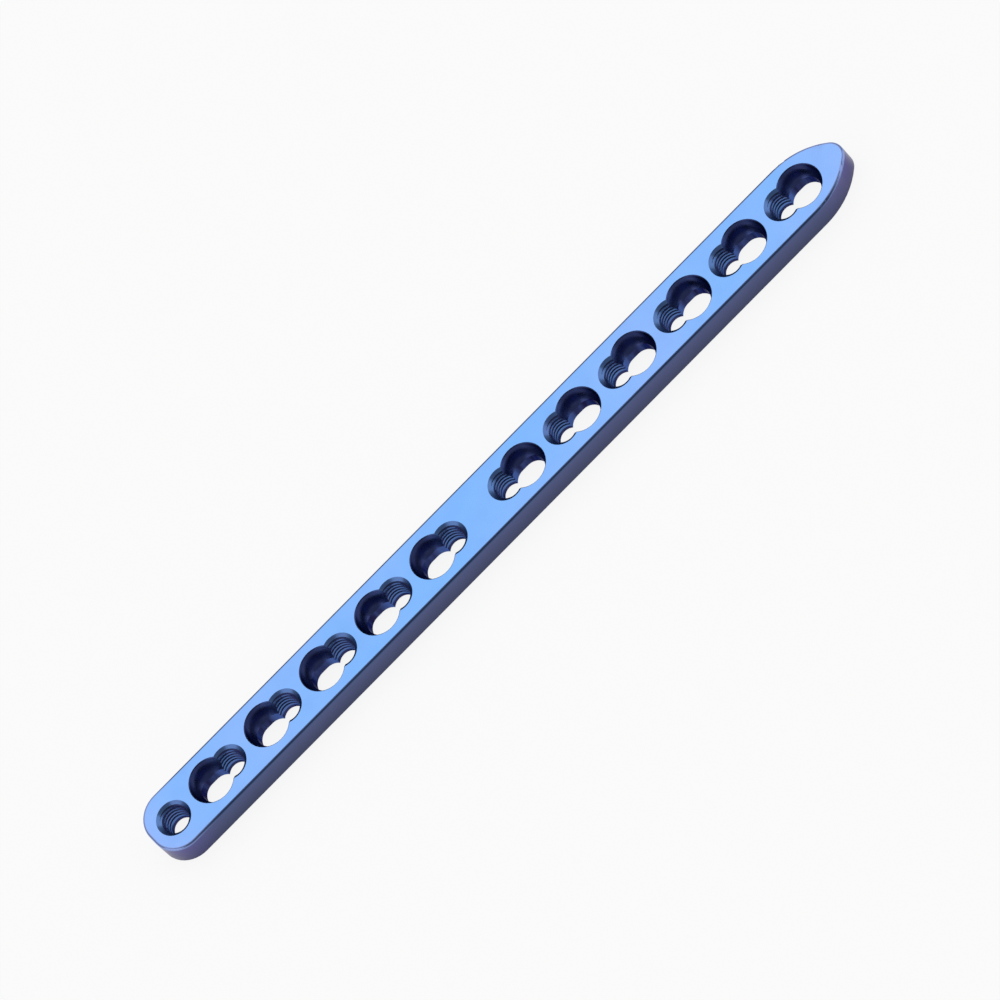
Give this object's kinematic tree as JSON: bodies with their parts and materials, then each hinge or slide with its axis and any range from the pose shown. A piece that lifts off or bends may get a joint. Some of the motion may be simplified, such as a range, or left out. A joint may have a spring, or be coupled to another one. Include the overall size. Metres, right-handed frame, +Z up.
{
  "type": "orthopedic bone plate",
  "caption": "Straight locking compression bone plate with a tapered nose, a round threaded end hole and a row of combination holes, in blue anodised titanium.",
  "frame": {"origin": "centre of the plate's length and width, on the bone face that it lies on", "axes": "+X along the plate towards the tapered nose, +Y across the plate, +Z up from the bone face to the top face"},
  "size_m": [0.1618, 0.0122, 0.0051],
  "materials": {
    "anodised_titanium": "satin polished titanium alloy with a clear blue anodised oxide layer"
  },
  "bodies": {
    "root": {"bone_plate": "anodised_titanium"}
  },
  "joints": []
}
